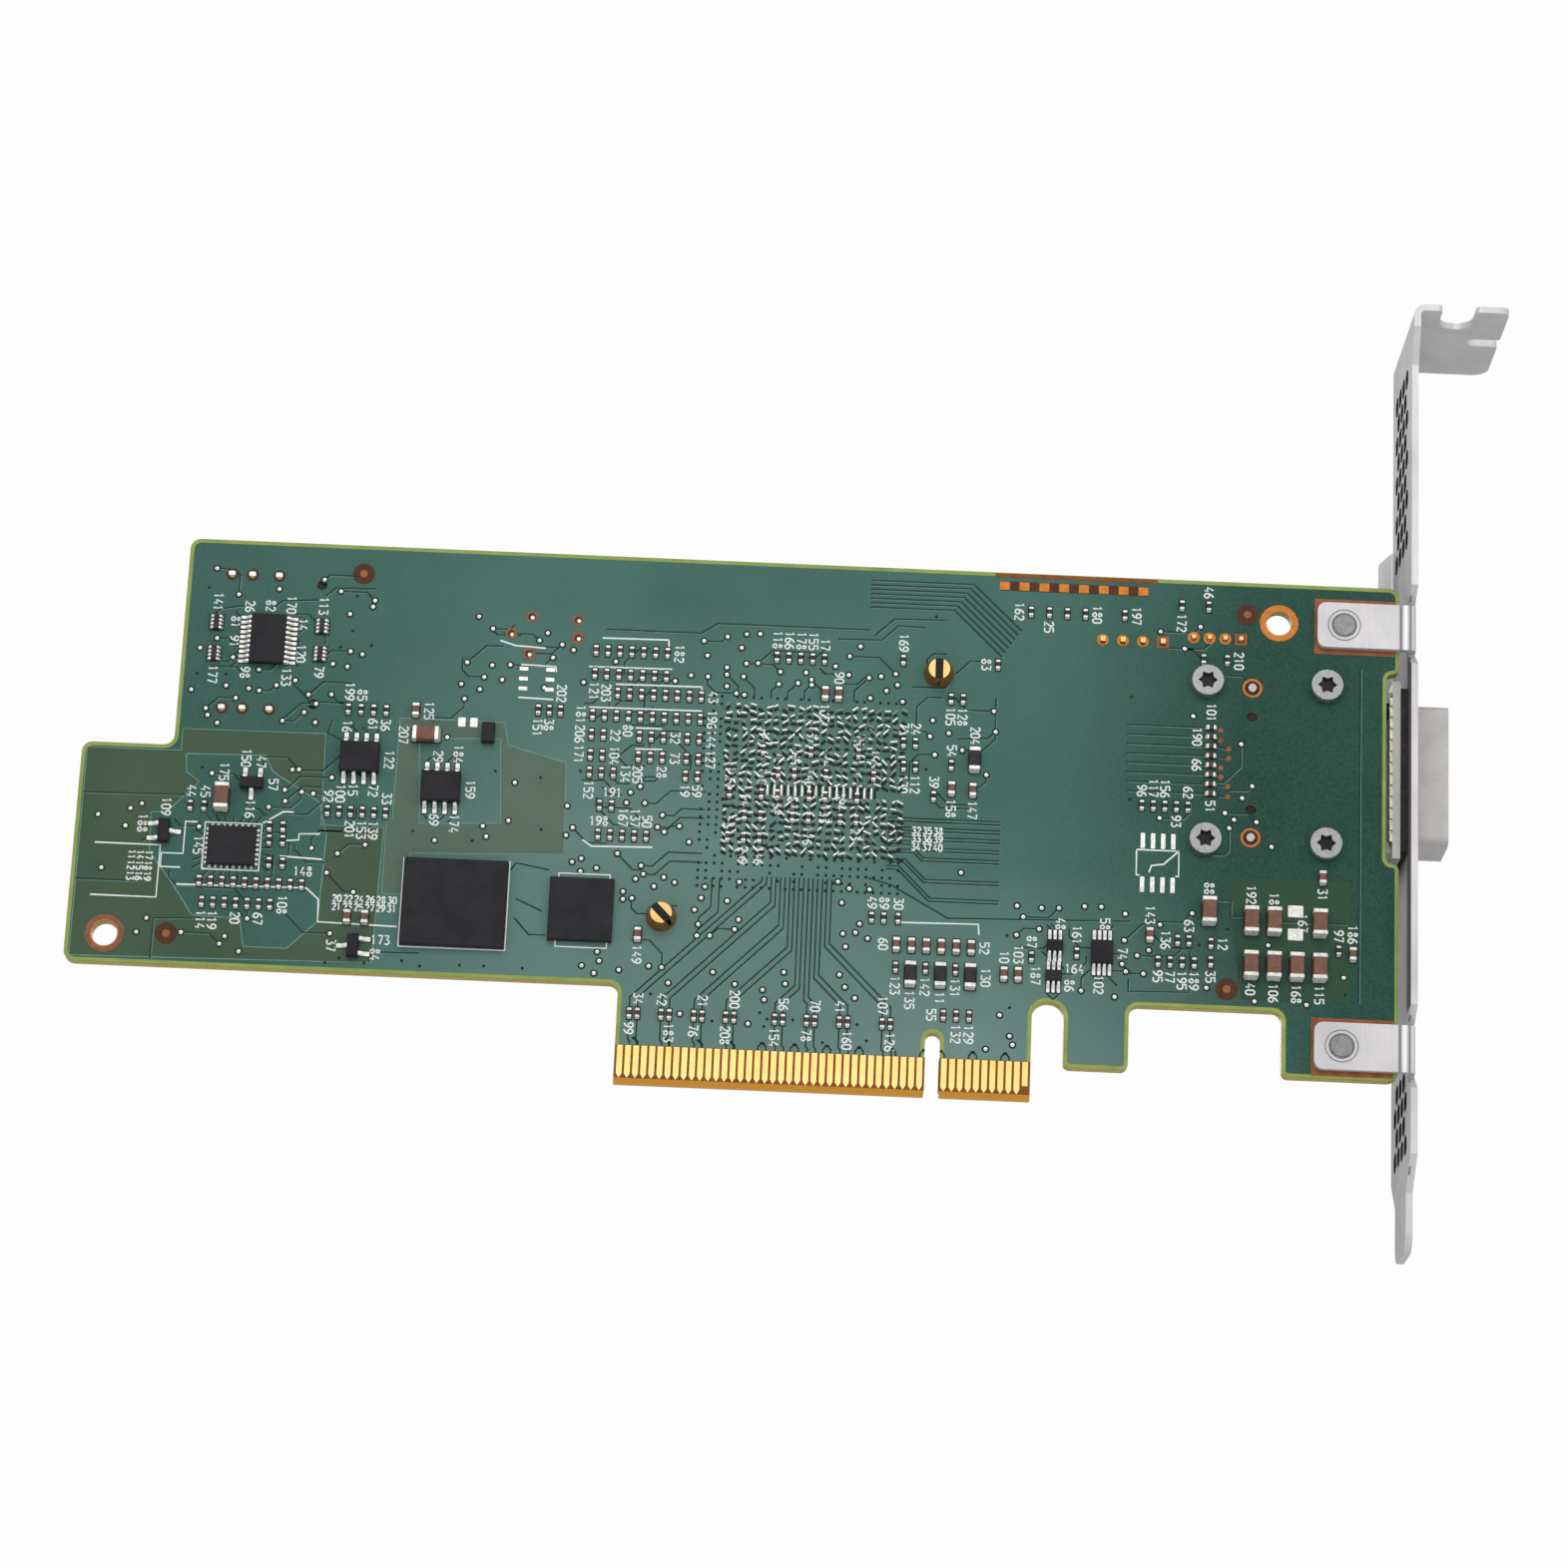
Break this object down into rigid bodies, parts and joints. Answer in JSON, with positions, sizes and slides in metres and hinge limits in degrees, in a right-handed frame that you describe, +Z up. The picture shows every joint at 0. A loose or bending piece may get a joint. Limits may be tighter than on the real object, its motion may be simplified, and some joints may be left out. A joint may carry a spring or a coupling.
{
  "type": "host bus adapter",
  "caption": "Plug-in host bus adapter card on a full-height slotted bracket, with an external port, an internal port and a finned heat sink on its hidden side.",
  "frame": {"origin": "middle of the keying notch on the card edge, half way through the board's thickness", "axes": "+X along the card towards the bracket, +Z up from the card edge, -Y out of the solder side"},
  "size_m": [0.1791, 0.0207, 0.1228],
  "materials": {
    "solder_mask": "satin green solder mask",
    "gold_plating": "gold flash",
    "zinc_plated_sheet": "satin plated sheet",
    "screw_steel": "bright plated",
    "die_cast_metal": "matt die casting",
    "gasket_foam": "soft conductive foam",
    "spring_bronze": "plated spring strip",
    "black_moulding": "moulded",
    "tinned_sheet": "tinned",
    "tinned_lead": "tinned",
    "chip_moulding": "matt moulding",
    "thermal_pad_silicone": "soft",
    "sink_aluminium": "extruded",
    "brass_pin": "turned",
    "spring_steel": "drawn wire",
    "capacitor_ceramic": "fired ceramic",
    "bead_ferrite": "pressed ferrite",
    "resistor_black": "glazed",
    "polymer_case": "moulded"
  },
  "bodies": {
    "root": {"boot_memory_chip": "chip_moulding", "bracket_screws": "screw_steel", "buffer_chip": "chip_moulding", "bulk_capacitors": "capacitor_ceramic", "cache_memory_chips": "chip_moulding", "chip_leads": "tinned_lead", "circuit_board": "solder_mask", "clock_chip": "chip_moulding", "component_side_capacitors": "capacitor_ceramic", "controller_chip": "chip_moulding", "coupling_capacitors": "capacitor_ceramic", "crystal": "tinned_sheet", "diode": "chip_moulding", "edge_contacts_component_side": "gold_plating", "edge_contacts_solder_side": "gold_plating", "filter_beads": "bead_ferrite", "heat_sink": "sink_aluminium", "heat_sink_pins": "brass_pin", "heat_sink_springs": "spring_steel", "internal_port_block": "black_moulding", "internal_port_contacts": "gold_plating", "internal_port_cover": "tinned_sheet", "large_memory_chip": "chip_moulding", "mounting_bracket": "zinc_plated_sheet", "narrow_header_base": "black_moulding", "narrow_header_pins": "gold_plating", "polymer_capacitors": "polymer_case", "port_contact_block": "black_moulding", "port_contacts": "gold_plating", "port_gasket": "gasket_foam", "port_screws": "screw_steel", "port_shell": "die_cast_metal", "port_shield_fingers": "spring_bronze", "power_inductors": "bead_ferrite", "power_manager_chip": "chip_moulding", "power_switches": "chip_moulding", "resistor_networks": "resistor_black", "serial_memory_chips": "chip_moulding", "small_capacitors": "capacitor_ceramic", "small_memory_chip": "chip_moulding", "small_resistors": "resistor_black", "supervisor_chips": "chip_moulding", "supply_capacitors": "capacitor_ceramic", "thermal_pad": "thermal_pad_silicone", "transistors": "chip_moulding", "wide_header_base": "black_moulding", "wide_header_pins": "gold_plating"}
  },
  "joints": []
}
